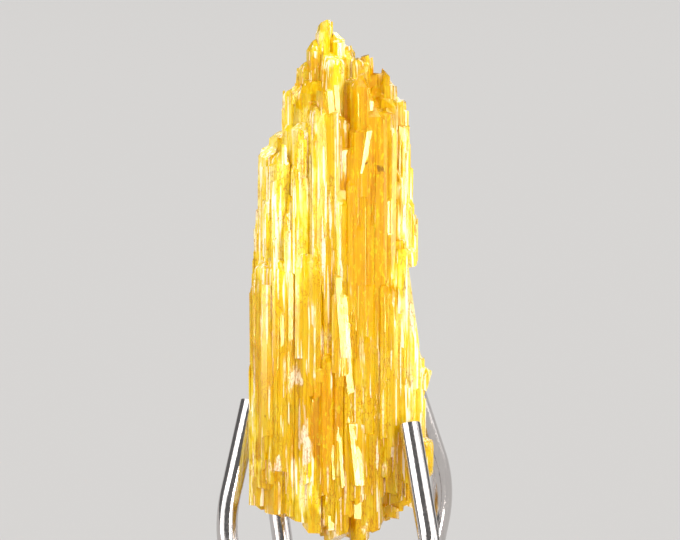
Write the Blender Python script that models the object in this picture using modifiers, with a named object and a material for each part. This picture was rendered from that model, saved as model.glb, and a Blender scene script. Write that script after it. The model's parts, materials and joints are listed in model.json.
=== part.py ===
"""Legrandite crystal standing upright in a four-prong wire holder, at its real size.

The crystal is one solid: a bundle of parallel six-sided laths that grew together along the vertical
axis. It ends in a ragged peak and is broken off in steps at the foot. Four bent steel wires grip its
lower half. They are set in the boss of a round turned base.
The origin is the centre of the base's underside, +Z is up and the crystal's broad face looks along -Y.
"""
import math
import random

import bmesh
import bpy
from mathutils import Matrix, Vector

MM = 0.001
COLLECTION = "legrandite_crystal"

# The crystal's form in mm. Edges are (height, across), and faces are (share of the half width, depth).
LEFT_EDGE = [
    (15.2, -3.35), (15.7, -3.50), (21.0, -3.60), (24.8, -3.52), (26.0, -3.38), (28.5, -3.24),
    (30.0, -3.00), (30.5, -2.40), (32.3, -2.10), (33.4, -1.45), (34.4, -1.00), (34.9, -0.66),
]
RIGHT_EDGE = [
    (14.1, 0.60), (14.4, 1.30), (14.8, 1.90), (15.2, 2.50), (15.6, 3.10), (17.6, 3.70), (19.4, 3.32),
    (20.6, 3.62), (22.2, 3.05), (24.7, 2.84), (26.6, 3.08), (28.6, 2.96), (30.6, 2.72), (32.0, 2.40),
    (33.0, 1.85), (33.6, 1.15), (34.3, 0.10), (34.9, -0.45),
]
FOOT_LEFT_EDGE = [(14.1, -0.40), (14.4, -1.10), (14.8, -1.80), (15.2, -3.35)]
FRONT_FACE = [(-1.0, 0.55), (-0.80, 1.70), (-0.10, 2.42), (0.55, 2.10), (0.82, 1.45), (1.0, 0.35)]
BACK_FACE = [(-1.0, 0.00), (-0.84, 0.95), (-0.60, 1.80), (0.10, 2.32), (0.70, 1.75), (1.0, 0.45)]
DEPTH_SHARE = [
    (14.1, 0.50), (15.0, 0.82), (17.0, 1.0), (24.0, 1.0), (28.0, 0.95), (31.0, 0.82), (32.6, 0.62),
    (34.9, 0.25),
]
LOWEST = 14.1
HIGHEST = 34.9
HEIGHT_STEPS = 85
MIDDLE_HEIGHT = 19.0       # where the crystal is broadest

# Thick laths inside the bundle, in mm: across, depth, width, thickness, foot, head
THICK_LATHS = [
    (-2.20, -0.15, 2.30, 2.50, 16.8, 28.9),
    (-1.00, 0.10, 2.50, 4.20, 16.1, 29.8),
    (0.35, -0.10, 2.60, 4.50, 15.7, 30.4),
    (1.60, 0.00, 2.20, 3.60, 16.4, 29.2),
    (2.30, 0.10, 1.50, 2.00, 17.2, 27.2),
    (-0.40, 0.05, 1.70, 2.20, 15.6, 32.4),
    (0.95, 0.10, 1.90, 2.30, 15.8, 31.8),
]
SEED_LATH = (0.35, -0.10, 1.30, 2.25, 16.7, 29.4)   # the one that the others are joined to

# Laths that draw the outline, in mm: left edge, right edge, depth, foot, head
OUTLINE_LATHS = [
    (-3.60, -2.80, -0.60, 15.50, 25.10),
    (-3.42, -2.60, -0.15, 15.45, 27.30),
    (-3.26, -2.45, -0.30, 15.60, 29.80),
    (-2.88, -2.10, 0.20, 15.30, 30.50),
    (-2.36, -1.45, -0.15, 15.10, 32.30),
    (-1.66, -1.00, 0.20, 14.80, 33.25),
    (-1.30, -0.66, -0.10, 14.60, 34.15),
    (-0.96, -0.26, 0.05, 14.40, 34.85),
    (-0.48, 0.12, -0.15, 14.40, 34.35),
    (-0.06, 0.56, 0.15, 14.30, 33.85),
    (0.44, 1.22, -0.10, 14.40, 33.40),
    (0.84, 1.16, 0.10, 31.50, 33.80),
    (1.00, 1.66, 0.20, 14.50, 32.80),
    (1.62, 1.96, -0.05, 30.80, 33.15),
    (1.60, 2.32, -0.20, 14.90, 32.50),
    (2.00, 2.60, 0.10, 15.30, 31.85),
    (2.10, 2.78, -0.20, 15.50, 30.95),
    (2.10, 2.92, 0.20, 15.60, 29.40),
    (2.20, 3.02, -0.10, 15.70, 28.00),
    (2.30, 3.12, 0.10, 25.50, 26.80),
    (2.30, 3.10, -0.20, 15.80, 22.50),
    (2.50, 3.42, 0.00, 16.00, 21.80),
    (2.80, 3.70, 0.10, 20.10, 21.05),
    (2.60, 3.48, 0.10, 16.50, 20.00),
    (2.80, 3.76, -0.10, 16.80, 18.30),
]
OUTLINE_THICKNESS = (1.1, 1.6)
PEAK = -0.6
PEAK_SLANT = 0.5           # heads of these laths slope up towards the peak

# Laths that give the front its look, in mm: left edge, right edge, depth of the flat face, foot, head
FEATURE_LATHS = [
    (0.22, 1.42, -2.22, 18.60, 30.90),
    (1.22, 2.16, -1.92, 21.80, 31.50),
    (-0.34, 0.20, -2.60, 20.70, 24.95),
    (0.36, 0.94, -2.48, 16.20, 19.50),
    (-1.96, -1.56, -2.20, 25.10, 29.40),
    (-2.90, -2.20, -1.62, 17.40, 28.10),
    (-1.30, -0.70, -2.30, 23.00, 31.70),
]
FEATURE_THICKNESS = 1.5

# Laths inside the bundle that make the ragged top and foot
INNER_REACH = (3.9, 2.6)
INNER_PITCH = (0.74, 0.70)
INNER_JITTER = (0.14, 0.12)
INNER_WIDTH = (1.05, 1.40)
INNER_DEPTH_SPARE = 1.30   # a lath is as long as the form is at this share of its depth
HEAD_STEP = 0.9
FOOT_STEP = 0.4

# Laths that make the front and back, side by side with their flat faces outwards
FACE_COUNT = 13
FACE_WIDTH = (0.70, 1.15)
FACE_THICKNESS = (1.3, 1.8)
FACE_JITTER = 0.25
FACE_UNEVENNESS = 0.16
FACE_STOP_SHARE = (0.50, 0.95)
LEDGE_SHARE = 0.35
LEDGE_DROP = (1.5, 7.0)

# Thin ribs on the faces
RIB_COUNT = 64
RIB_HEIGHTS = (15.8, 31.0)
RIB_SHARES = (0.04, 0.96)
RIB_WIDTH = (0.30, 0.75)
RIB_THICKNESS = 2.0
RIB_LENGTH = (2.0, 9.0)
RIB_PROUD = (0.0, 0.14)
RIB_DEPTH_TEST = 0.9
RIBS_IN_FRONT = (3, 5)     # three ribs in five are on the front
SHORTEST_RIB = 1.0

GROWTH_TURN = math.radians(8)
TURN_SPREAD = math.radians(4)
FLAT = 0.433       # a lath's flat face lies this share of its thickness from its middle
FAN = 0.003        # lean towards the middle for each mm off it, so that the bundle narrows upwards
LEAN_SPREAD = 0.004
TIP_LENGTH = (0.05, 0.50)
TIP_SHARE = (0.35, 0.95)
LONGEST_TIP = 0.4          # share of the lath's length
BREAK_SLANT = (0.5, 0.4)   # steepest slant of a foot or a head, across and in depth
SHOULDER_SLANT = (0.2, 0.2)
EDGE_TEST = (0.38, 0.2)    # where a lath's edges are tested: shares of its width and its depth
SEED = 8

# Prongs, in mm: cut tip, corner of the bend, and the root's end in the base
WIRE_DIAMETER = 0.86
PRONGS = {
    "prong_front_right": ((2.74, -2.24, 19.20), (3.66, -4.65, 13.90), (1.55, -1.90, 4.40)),
    "prong_front_left": ((-3.62, 1.17, 19.45), (-4.74, -0.43, 14.50), (-2.15, -0.60, 4.40)),
    "prong_back_right": ((2.98, 1.71, 20.00), (4.42, 2.78, 15.55), (2.10, 1.20, 4.40)),
    "prong_back_left": ((-1.55, 2.47, 19.60), (-2.80, 4.28, 15.60), (-1.20, 2.05, 4.40)),
}
BEND_REACH = 1.5
BEND_STEPS = 7
WIRE_ROUNDNESS = 4

# Base, in mm
BASE_RADIUS = 9.0
BASE_HEIGHT = 2.6
BOSS_RADIUS = 3.6
BOSS_TOP = 6.2
CHAMFER = 0.35
COVE = 0.8
TURNED_STEPS = 64
HOLE_GAP = 0.06
HOLE_SHAFT = 4.0
COVE_STEPS = 5


def along(line, place):
    """Value of a line of (place, value) points, straight between them and level past its ends."""
    if place <= line[0][0]:
        return line[0][1]
    for (place_0, value_0), (place_1, value_1) in zip(line, line[1:]):
        if place <= place_1:
            return value_0 + (value_1 - value_0) * (place - place_0) / (place_1 - place_0)
    return line[-1][1]


def width_at(height):
    """Left and right edge of the crystal at a height."""
    left = FOOT_LEFT_EDGE if height < FOOT_LEFT_EDGE[-1][0] else LEFT_EDGE
    return along(left, height), along(RIGHT_EDGE, height)


def depth_at(across, height):
    """Front and back of the crystal at a place, or None beside it."""
    left, right = width_at(height)
    if not left < across < right:
        return None
    share = 2 * (across - left) / (right - left) - 1
    depth = along(DEPTH_SHARE, height)
    return -along(FRONT_FACE, share) * depth, along(BACK_FACE, share) * depth


def within(across, depth, height):
    reach = depth_at(across, height)
    return reach is not None and reach[0] <= depth <= reach[1]


def run_of(across, depth):
    """Lowest and highest point of the crystal's form on a vertical line, or None if it misses."""
    pitch = (HIGHEST - LOWEST) / (HEIGHT_STEPS - 1)
    heights = [LOWEST + pitch * step for step in range(HEIGHT_STEPS)]
    hit = [height for height in heights if within(across, depth, height)]
    return (hit[0], hit[-1]) if hit else None


def shared_run(across, depth, width):
    """The run that a lath's middle and its two edges have in common, or None if one of them misses."""
    runs = [run_of(across + side * EDGE_TEST[0] * width, depth * EDGE_TEST[1]) for side in (-1, 1)]
    runs.append(run_of(across, depth))
    return (max(run[0] for run in runs), min(run[1] for run in runs)) if all(runs) else None


def new_object(name, mesh, collection):
    obj = bpy.data.objects.new(name, mesh)
    collection.objects.link(obj)
    return obj


def collection_for(name):
    collection = bpy.data.collections.new(name)
    bpy.context.scene.collection.children.link(collection)
    return collection


def material(name, colour, roughness, metallic=0.0, transmission=0.0, ior=1.5):
    made = bpy.data.materials.new(name)
    made.use_nodes = True
    shader = made.node_tree.nodes["Principled BSDF"]
    shader.inputs["Base Color"].default_value = (*colour, 1.0)
    shader.inputs["Roughness"].default_value = roughness
    shader.inputs["Metallic"].default_value = metallic
    shader.inputs["Transmission Weight"].default_value = transmission
    shader.inputs["IOR"].default_value = ior
    return made


def lath(bm, pick, middle, foot, head, width, thickness, head_slant=None):
    """One six-sided lath with a flat front. Its foot breaks on a slant and its head narrows to a chisel."""
    turn = GROWTH_TURN + pick.gauss(0, TURN_SPREAD)
    lean = Vector((FAN * -middle[0] + pick.gauss(0, LEAN_SPREAD), pick.gauss(0, LEAN_SPREAD), 0))
    tip = min(pick.uniform(*TIP_LENGTH), LONGEST_TIP * (head - foot))
    levels = {0: foot, 1: head - tip, 2: head}
    shares = {0: 1.0, 1: 1.0, 2: pick.uniform(*TIP_SHARE)}
    steepest = {0: BREAK_SLANT, 1: SHOULDER_SLANT, 2: BREAK_SLANT}
    slants = {level: [pick.uniform(-most, most) for most in steepest[level]] for level in levels}
    if head_slant is not None:
        slants[2][0] = head_slant
    prism = bmesh.ops.create_cone(bm, cap_ends=True, segments=6, radius1=0.5, radius2=0.5, depth=1.0,
                                  matrix=Matrix.Rotation(math.radians(30), 4, "Z"))
    rings = {0: [v for v in prism["verts"] if v.co.z < 0], 1: [v for v in prism["verts"] if v.co.z > 0]}
    top = next(f for f in rings[1][0].link_faces if all(v in rings[1] for v in f.verts))
    rings[2] = list(bmesh.ops.extrude_discrete_faces(bm, faces=[top])["faces"][0].verts)
    for level, ring in rings.items():
        for vertex in ring:
            x = vertex.co.x * width * shares[level]
            y = vertex.co.y * thickness * shares[level]
            across = x * math.cos(turn) - y * math.sin(turn)
            depth = x * math.sin(turn) + y * math.cos(turn)
            height = levels[level] + across * slants[level][0] + depth * slants[level][1]
            offset = lean * (height - 0.5 * (foot + head))
            vertex.co = Vector((middle[0] + across, middle[1] + depth, height)) + offset
            vertex.co *= MM


def inner_laths(bm, pick):
    """Laths on a loose grid, each as long as the crystal's form is at its place."""
    columns, rows = (int(reach / pitch) for reach, pitch in zip(INNER_REACH, INNER_PITCH))
    for row in range(-rows, rows + 1):
        for column in range(-columns, columns + 1):
            across = (column + 0.5 * (row % 2)) * INNER_PITCH[0]
            across += pick.uniform(-INNER_JITTER[0], INNER_JITTER[0])
            depth = row * INNER_PITCH[1] + pick.uniform(-INNER_JITTER[1], INNER_JITTER[1])
            width = pick.uniform(*INNER_WIDTH)
            foot_step = pick.random() * FOOT_STEP
            head_step = pick.random() ** 2 * HEAD_STEP
            run = shared_run(across, depth * INNER_DEPTH_SPARE, width)
            if run:
                lath(bm, pick, (across, depth), run[0] + foot_step, run[1] - head_step, width, width)


def face_laths(bm, pick):
    """Laths side by side along the front and the back. Some end early, in a ledge."""
    for side in (-1, 1):
        for number in range(FACE_COUNT):
            share = (number + 0.5 + pick.uniform(-FACE_JITTER, FACE_JITTER)) / FACE_COUNT
            width = pick.uniform(*FACE_WIDTH)
            stop_share = pick.uniform(*FACE_STOP_SHARE)
            thickness = pick.uniform(*FACE_THICKNESS) * width
            sunk = pick.random() * FACE_UNEVENNESS
            ledge = pick.random() < LEDGE_SHARE
            drop = pick.uniform(*LEDGE_DROP) if ledge else pick.random() * HEAD_STEP
            left, right = width_at(MIDDLE_HEIGHT)
            across = left + 0.5 * width + (right - left - width) * share
            flat = depth_at(across, MIDDLE_HEIGHT)[0 if side < 0 else 1] - side * sunk
            foot, head = shared_run(across, flat * stop_share, width)
            middle = (across, flat - side * FLAT * thickness)
            lath(bm, pick, middle, foot + pick.random() * FOOT_STEP, head - drop, width, thickness)


def ribs(bm, pick):
    """Thin laths that stand a little proud of the front and the back."""
    for number in range(RIB_COUNT):
        height = pick.uniform(*RIB_HEIGHTS)
        length = pick.uniform(*RIB_LENGTH)
        share = pick.uniform(*RIB_SHARES)
        width = pick.uniform(*RIB_WIDTH)
        thickness = RIB_THICKNESS * width
        side = -1 if number % RIBS_IN_FRONT[1] < RIBS_IN_FRONT[0] else 1
        left, right = width_at(height)
        across = left + 0.5 * width + (right - left - width) * share
        flat = depth_at(across, height)[0 if side < 0 else 1] + side * pick.uniform(*RIB_PROUD)
        run = run_of(across, flat * RIB_DEPTH_TEST)
        foot = max(height - 0.5 * length, run[0])
        head = min(height + 0.5 * length, run[1])
        if head - foot > SHORTEST_RIB:
            lath(bm, pick, (across, flat - side * FLAT * thickness), foot, head, width, thickness)


def build_crystal(collection, cutters):
    pick = random.Random(SEED)
    bm = bmesh.new()
    for across, depth, width, thickness, foot, head in THICK_LATHS:
        lath(bm, pick, (across, depth), foot, head, width, thickness)
    for left, right, depth, foot, head in OUTLINE_LATHS:
        width = right - left
        across = 0.5 * (left + right)
        thickness = pick.uniform(*OUTLINE_THICKNESS)
        slant = PEAK_SLANT if across < PEAK else -PEAK_SLANT
        lath(bm, pick, (across, depth), foot, head, width, thickness, slant)
    for left, right, flat, foot, head in FEATURE_LATHS:
        middle = (0.5 * (left + right), flat + FLAT * FEATURE_THICKNESS)
        lath(bm, pick, middle, foot, head, right - left, FEATURE_THICKNESS)
    inner_laths(bm, pick)
    face_laths(bm, pick)
    ribs(bm, pick)
    mesh = bpy.data.meshes.new("laths")
    bm.to_mesh(mesh)
    bm.free()
    laths = new_object("laths", mesh, cutters)
    laths.hide_render = True
    laths.display_type = "WIRE"

    bm = bmesh.new()
    across, depth, width, thickness, foot, head = SEED_LATH
    lath(bm, pick, (across, depth), foot, head, width, thickness)
    mesh = bpy.data.meshes.new("crystal")
    bm.to_mesh(mesh)
    bm.free()
    crystal = new_object("crystal", mesh, collection)
    grown = crystal.modifiers.new("grown_together", "BOOLEAN")
    grown.operation = "UNION"
    grown.object = laths
    grown.use_self = True
    crystal.data.materials.append(
        material("legrandite", (0.96, 0.56, 0.02), 0.12, transmission=0.6, ior=1.70))


def bent_path(tip, bend, root):
    """Points in metres from tip to root, with the corner turned into an arc."""
    tip, bend, root = (Vector(point) * MM for point in (tip, bend, root))
    start = bend + (tip - bend).normalized() * BEND_REACH * MM
    end = bend + (root - bend).normalized() * BEND_REACH * MM
    points = [tip]
    for step in range(BEND_STEPS):
        t = step / (BEND_STEPS - 1)
        points.append(start * (1 - t) ** 2 + bend * 2 * t * (1 - t) + end * t ** 2)
    return points + [root]


def wire(name, points, radius, collection):
    curve = bpy.data.curves.new(name, "CURVE")
    curve.dimensions = "3D"
    curve.bevel_depth = radius
    curve.bevel_resolution = WIRE_ROUNDNESS
    curve.use_fill_caps = True
    spline = curve.splines.new("POLY")
    spline.points.add(len(points) - 1)
    for target, point in zip(spline.points, points):
        target.co = (*point, 1.0)
    return new_object(name, curve, collection)


def as_mesh(obj, collection):
    """Replaces a curve object by a mesh object with welded caps."""
    graph = bpy.context.evaluated_depsgraph_get()
    mesh = bpy.data.meshes.new_from_object(obj.evaluated_get(graph))
    bm = bmesh.new()
    bm.from_mesh(mesh)
    bmesh.ops.remove_doubles(bm, verts=bm.verts, dist=1e-7)
    bm.to_mesh(mesh)
    bm.free()
    made = new_object(obj.name + "_hole", mesh, collection)
    made.matrix_world = obj.matrix_world
    bpy.data.objects.remove(obj)
    return made


def build_prongs(collection):
    steel = material("polished_steel_wire", (0.78, 0.77, 0.76), 0.16, metallic=1.0)
    for name, (tip, bend, root) in PRONGS.items():
        prong = wire(name, bent_path(tip, bend, root), 0.5 * WIRE_DIAMETER * MM, collection)
        prong.data.materials.append(steel)


def base_profile():
    """Radius and height of the turned base from the top's centre round to the underside's."""
    corner = BOSS_RADIUS + COVE
    points = [(0.0, BOSS_TOP), (BOSS_RADIUS - CHAMFER, BOSS_TOP), (BOSS_RADIUS, BOSS_TOP - CHAMFER)]
    for step in range(COVE_STEPS):
        angle = math.radians(90) * step / (COVE_STEPS - 1)
        points.append((corner - COVE * math.cos(angle), BASE_HEIGHT + COVE * (1 - math.sin(angle))))
    points += [(BASE_RADIUS - CHAMFER, BASE_HEIGHT), (BASE_RADIUS, BASE_HEIGHT - CHAMFER)]
    points += [(BASE_RADIUS, CHAMFER), (BASE_RADIUS - CHAMFER, 0.0), (0.0, 0.0)]
    return points


def build_base(collection, cutters):
    profile = [Vector((radius, 0.0, height)) * MM for radius, height in base_profile()]
    mesh = bpy.data.meshes.new("holder_base")
    mesh.from_pydata(profile, [(i, i + 1) for i in range(len(profile) - 1)], [])
    base = new_object("holder_base", mesh, collection)
    turned = base.modifiers.new("turned", "SCREW")
    turned.steps = TURNED_STEPS
    turned.render_steps = TURNED_STEPS
    turned.use_merge_vertices = True
    turned.merge_threshold = 0.00001
    for name, (tip, bend, root) in PRONGS.items():
        root = Vector(root)
        upward = (Vector(bend) - root).normalized()
        ends = [(root - upward * HOLE_GAP) * MM, (root + upward * HOLE_SHAFT) * MM]
        shaft = wire(name, ends, (0.5 * WIRE_DIAMETER + HOLE_GAP) * MM, cutters)
        hole = as_mesh(shaft, cutters)
        hole.hide_render = True
        hole.display_type = "WIRE"
        drilled = base.modifiers.new("drilled_for_" + name, "BOOLEAN")
        drilled.operation = "DIFFERENCE"
        drilled.object = hole
    base.data.materials.append(material("satin_steel_base", (0.42, 0.42, 0.43), 0.34, metallic=1.0))


def main():
    for obj in list(bpy.data.objects):
        bpy.data.objects.remove(obj)
    collection = collection_for(COLLECTION)
    cutters = collection_for("cutters")
    build_crystal(collection, cutters)
    build_base(collection, cutters)
    build_prongs(collection)


main()
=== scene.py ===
"""A legrandite crystal held by four bent steel wires on a turned base.

Run as a script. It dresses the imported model: the crystal's laths and striae are grown on the crystal's own
solid, the wires and the base are made again with their fine edges, and a plain studio is set round them.
"""

import itertools
import json
import math
import random
import statistics
from functools import partial, reduce
from types import SimpleNamespace

import bmesh
import bpy
from bpy.props import FloatProperty, FloatVectorProperty, IntProperty, PointerProperty
from mathutils import Matrix, Vector
from mathutils.bvhtree import BVHTree

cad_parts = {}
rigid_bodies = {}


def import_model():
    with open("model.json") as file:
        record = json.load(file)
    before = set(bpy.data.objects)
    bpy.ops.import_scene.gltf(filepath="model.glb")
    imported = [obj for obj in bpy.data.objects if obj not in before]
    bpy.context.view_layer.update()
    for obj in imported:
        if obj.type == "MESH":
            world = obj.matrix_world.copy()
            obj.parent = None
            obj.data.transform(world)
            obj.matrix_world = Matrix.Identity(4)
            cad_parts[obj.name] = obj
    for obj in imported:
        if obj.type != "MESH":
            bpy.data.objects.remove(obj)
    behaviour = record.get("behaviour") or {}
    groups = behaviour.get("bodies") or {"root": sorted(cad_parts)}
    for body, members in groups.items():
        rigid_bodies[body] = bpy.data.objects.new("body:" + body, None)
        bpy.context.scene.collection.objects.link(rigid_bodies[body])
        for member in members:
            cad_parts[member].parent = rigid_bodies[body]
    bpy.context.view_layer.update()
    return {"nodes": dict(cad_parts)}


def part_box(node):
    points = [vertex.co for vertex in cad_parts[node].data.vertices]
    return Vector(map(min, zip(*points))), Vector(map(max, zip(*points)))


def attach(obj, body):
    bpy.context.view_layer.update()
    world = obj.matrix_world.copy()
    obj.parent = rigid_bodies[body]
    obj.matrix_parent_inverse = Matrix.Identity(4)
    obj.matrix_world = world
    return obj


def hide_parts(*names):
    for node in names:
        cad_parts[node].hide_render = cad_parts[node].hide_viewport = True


bl_info = {
    "name": "Legrandite Specimen",
    "version": (1, 0, 0),
    "blender": (4, 5, 0),
    "location": "View3D > Sidebar > Specimen",
    "description": "Grows the laths of a legrandite crystal and makes its wire holder and studio",
    "category": "Object",
}

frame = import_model()

MM = 0.001
BODY = "root"
WELD = 1e-8                 # corners nearer than this are one

# The crystal's lowest and highest point, which the laths stay between
CRYSTAL_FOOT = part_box("crystal")[0].z
CRYSTAL_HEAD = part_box("crystal")[1].z
END_SPARE = 0.05 * MM

# A lath starts as a six-sided prism, 1 across and 1 tall. These are shares of its width, thickness and length
EDGE = 0.5                  # its two edges are this far from its middle
FLAT_HALF = 0.25            # its front and back are flat as far as this to each side
FLAT = 0.433                # its front and back are this far from its middle
LATH_END = 0.45             # its ends are this far from its middle, which leaves room for their slant
TIP_LENGTH = (0.01, 0.10)
TIP_SHARE = (0.25, 0.95)
END_SLANT = (0.05, 0.04)    # steepest slant of its ends, across and in depth
LATH_SHAPES = 8
LATH_SEED = 11
LAYER_SEEDS = 20            # seeds kept for each layer of laths

STEEPEST_NORMAL = 0.4       # laths grow where the upright part of the surface's normal is less than this
SKIN = 0.12 * MM            # rays up and down start this far inside the body
RAY_REACH = 30.0 * MM
PRONG_ROOM = 0.08 * MM
PRONG_CHECKS = (0.0, 0.25, 0.5, 0.75, 1.0)      # shares of a lath's height where that room is measured
FAR = 1.0                   # further than any prong
SHORTEST_LATH = 0.5 * MM
LEAST_SHORTFALL = -0.12 * MM    # below zero, so some laths pass the crystal's broken ends by up to this
LATH_TILT = math.radians(0.7)

# Single laths on the front, turned to catch the light. In mm and degrees: middle across, width, foot, head,
# how far they stand out, lean sideways and lean back
BRIGHT_FLAT = 0.80          # share of their width that is flat
BRIGHT_TURN = (15.5, 18.5)
BRIGHT_START = -8.0         # rays that find the crystal's skin start this far in front of its middle
BRIGHT_CHECKS = (-0.3, 0.0, 0.3)    # shares of their height, from the middle, where those rays run
BRIGHT_LATHS = [
    (0.10, 0.54, 21.70, 24.40, 0.05, -4.6, 1.0),
    (0.28, 0.34, 20.30, 22.60, 0.05, -6.0, 2.0),
    (-0.06, 0.30, 23.60, 25.20, 0.04, -3.0, 0.5),
    (0.60, 0.48, 16.60, 19.40, 0.07, -6.0, 4.0),
    (0.42, 0.26, 17.80, 19.70, 0.05, -5.0, 3.5),
    (0.66, 0.36, 15.30, 16.20, 0.06, 0.0, 5.0),
    (-0.36, 0.28, 30.65, 32.50, 0.03, -5.0, 0.0),
    (-0.12, 0.24, 30.95, 32.60, 0.04, -5.0, 0.0),
    (-1.75, 0.26, 24.85, 29.10, 0.04, 0.0, 0.0),
    (-1.95, 0.22, 22.40, 25.40, 0.04, 1.0, 1.0),
    (1.16, 0.24, 31.10, 31.95, 0.02, 3.0, 0.0),
    (1.00, 0.26, 29.00, 31.10, 0.03, 9.0, 0.0),
    (-0.32, 0.22, 27.95, 28.70, 0.04, 0.0, 0.0),
    (0.15, 0.28, 29.10, 30.10, 0.03, 0.0, 0.0),
    (-2.20, 0.24, 28.65, 30.25, 0.03, 0.0, 0.0),
    (1.92, 0.22, 26.60, 28.10, 0.02, 0.0, 0.0),
    (-2.30, 0.20, 22.20, 23.70, 0.03, 0.0, 1.0),
    (0.02, 0.16, 16.60, 19.40, 0.05, -4.0, 4.0),
    (-0.30, 0.12, 16.90, 19.20, 0.05, -2.0, 4.0),
    (-0.38, 0.30, 14.85, 15.60, 0.05, 0.0, 5.0),
]

# Notches that run through the crystal from front to back, in mm: their outlines across and up
NOTCH_REACH = 4.0
NOTCHES = [
    ((2.70, 25.30), (3.80, 25.45), (3.80, 21.80), (3.20, 21.80)),
    ((3.66, 20.72), (3.95, 20.72), (3.95, 19.60), (3.34, 19.78)),
    ((0.60, 33.40), (0.60, 34.40), (1.30, 34.40), (1.30, 33.66)),
    ((1.50, 33.22), (1.50, 34.20), (2.10, 34.20), (2.10, 32.62)),
]

LEGRANDITE_IOR = 1.70       # between its lowest index, 1.68, and its highest, 1.74
SKIN_TINT = "#FFF4C4"       # warms what the skin mirrors, as the lit depth under it does

# Where the crystal is deep gold, pale, frosted or stained: ovals that run through it from front to back.
# In mm: middle across, middle up, half across, half up
DEEP_ZONES = [
    (1.25, 27.9, 1.15, 5.4),
    (-0.65, 19.5, 0.45, 2.6),
    (-0.95, 31.65, 0.30, 0.22),
    (-1.0, 33.1, 0.4, 0.4),
    (-1.35, 32.15, 0.55, 0.35),
]
PALE_ZONES = [
    (3.3, 26.0, 1.0, 8.0),
    (-3.2, 28.3, 0.9, 4.0),
    (-3.6, 17.8, 0.25, 4.0),
    (-2.2, 28.5, 1.3, 4.2),
    (-1.3, 16.4, 0.5, 1.3),
    (-1.7, 31.0, 0.85, 0.80),
    (-0.30, 34.2, 0.60, 0.90),
    (0.0, 32.8, 0.35, 1.1),
]
FROST_ZONES = [
    (-1.95, 20.9, 0.40, 0.65),
    (-1.50, 18.2, 0.55, 0.85),
    (-2.50, 17.6, 0.28, 0.40),
    (-0.38, 15.1, 0.26, 0.45),
    (1.15, 31.1, 0.20, 0.30),
    (-0.30, 34.3, 0.30, 0.50),
]
DARK_ZONES = [
    (1.62, 29.1, 0.28, 0.18),
    (2.62, 16.4, 0.14, 0.42),
    (-2.92, 19.3, 0.08, 0.08),
    (1.05, 29.4, 0.10, 0.10),
    (2.45, 24.6, 0.05, 0.6),
]

# Wire of the prongs, in mm: cut tip, corner of the bend, and root in the base
WIRE_DIAMETER = 0.86
PRONGS = {
    "prong_front_right": ((2.74, -2.24, 19.20), (3.66, -4.65, 13.90), (1.55, -1.90, 4.40)),
    "prong_front_left": ((-3.62, 1.17, 19.45), (-4.74, -0.43, 14.50), (-2.15, -0.60, 4.40)),
    "prong_back_right": ((2.98, 1.71, 20.00), (4.42, 2.78, 15.55), (2.10, 1.20, 4.40)),
    "prong_back_left": ((-1.55, 2.47, 19.60), (-2.80, 4.28, 15.60), (-1.20, 2.05, 4.40)),
}
BEND_REACH = 1.5            # the bend starts and ends this far from its corner
BEND_STEPS = 20
CUT_EDGE = 0.03             # length of the small edge round the cut
CUT_SHARE = 0.90            # share of the wire's diameter at its cut
WIRE_CREASE = math.radians(30)      # edges sharper than this stay sharp

# Base, in mm
BASE_RADIUS = 9.0
BASE_HEIGHT = 2.6
BOSS_RADIUS = 3.6
BOSS_TOP = 6.2
CHAMFER = 0.35
COVE = 0.8                  # radius of the hollow where the boss meets the base
COVE_STEPS = 12
BASE_MERGE = 0.01
HOLE_GAP = 0.06             # between wire and hole, all round and under the wire's end
HOLE_SHAFT = 4.0            # length of the drill above the wire's end
HOLE_SIDES = 48
TURNING_MARKS = 0.28        # real marks lie about 0.1 mm apart and would not show
BASE_CREASE = math.radians(25)


def linear(code):
    """Linear colour of an sRGB hex value such as "#FFB400"."""
    values = [int(code[place:place + 2], 16) / 255 for place in (1, 3, 5)]
    return (*[v / 12.92 if v <= 0.04045 else ((v + 0.055) / 1.055) ** 2.4 for v in values], 1.0)


def add(tree, kind, *values, inputs=None, **settings):
    """Adds a node with its settings. Values go to its inputs in order, and inputs names others.

    A value is a plain one, a socket, a node, which stands for its first output, or a list of sockets and
    nodes.
    """
    made = tree.nodes.new(kind)
    for name, value in settings.items():
        setattr(made, name, value)
    usable = [socket for socket in made.inputs if socket.enabled]
    wanted = [*zip(usable, values), *((made.inputs[name], value) for name, value in (inputs or {}).items())]
    for socket, value in wanted:
        for item in value if isinstance(value, list) else [value]:
            if isinstance(item, bpy.types.Node):
                item = next(output for output in item.outputs if output.enabled)
            if isinstance(item, bpy.types.NodeSocket):
                tree.links.new(item, socket)
            else:
                socket.default_value = item
    return made


def new_object(name, mesh):
    obj = bpy.data.objects.new(name, mesh)
    bpy.context.scene.collection.objects.link(obj)
    return obj


def merged_copy(node):
    """The mesh of a CAD node as one closed skin."""
    bm = bmesh.new()
    bm.from_mesh(frame["nodes"][node].data)
    bmesh.ops.remove_doubles(bm, verts=bm.verts, dist=WELD)
    mesh = bpy.data.meshes.new(node + "_skin")
    bm.to_mesh(mesh)
    bm.free()
    return mesh


def baked(obj, name):
    """A plain mesh object of what obj's modifiers make. obj itself is removed."""
    graph = bpy.context.evaluated_depsgraph_get()
    mesh = bpy.data.meshes.new_from_object(obj.evaluated_get(graph))
    mesh.name = name
    made = new_object(name, mesh)
    bpy.data.objects.remove(obj)
    return made


def nodes_modifier(obj, tree, values):
    """Puts a Geometry Nodes tree on obj and sets its named inputs."""
    modifier = obj.modifiers.new(tree.name, "NODES")
    modifier.node_group = tree
    for item in tree.interface.items_tree:
        if item.in_out == "INPUT" and item.name in values:
            modifier[item.identifier] = values[item.name]
    return modifier


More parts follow.
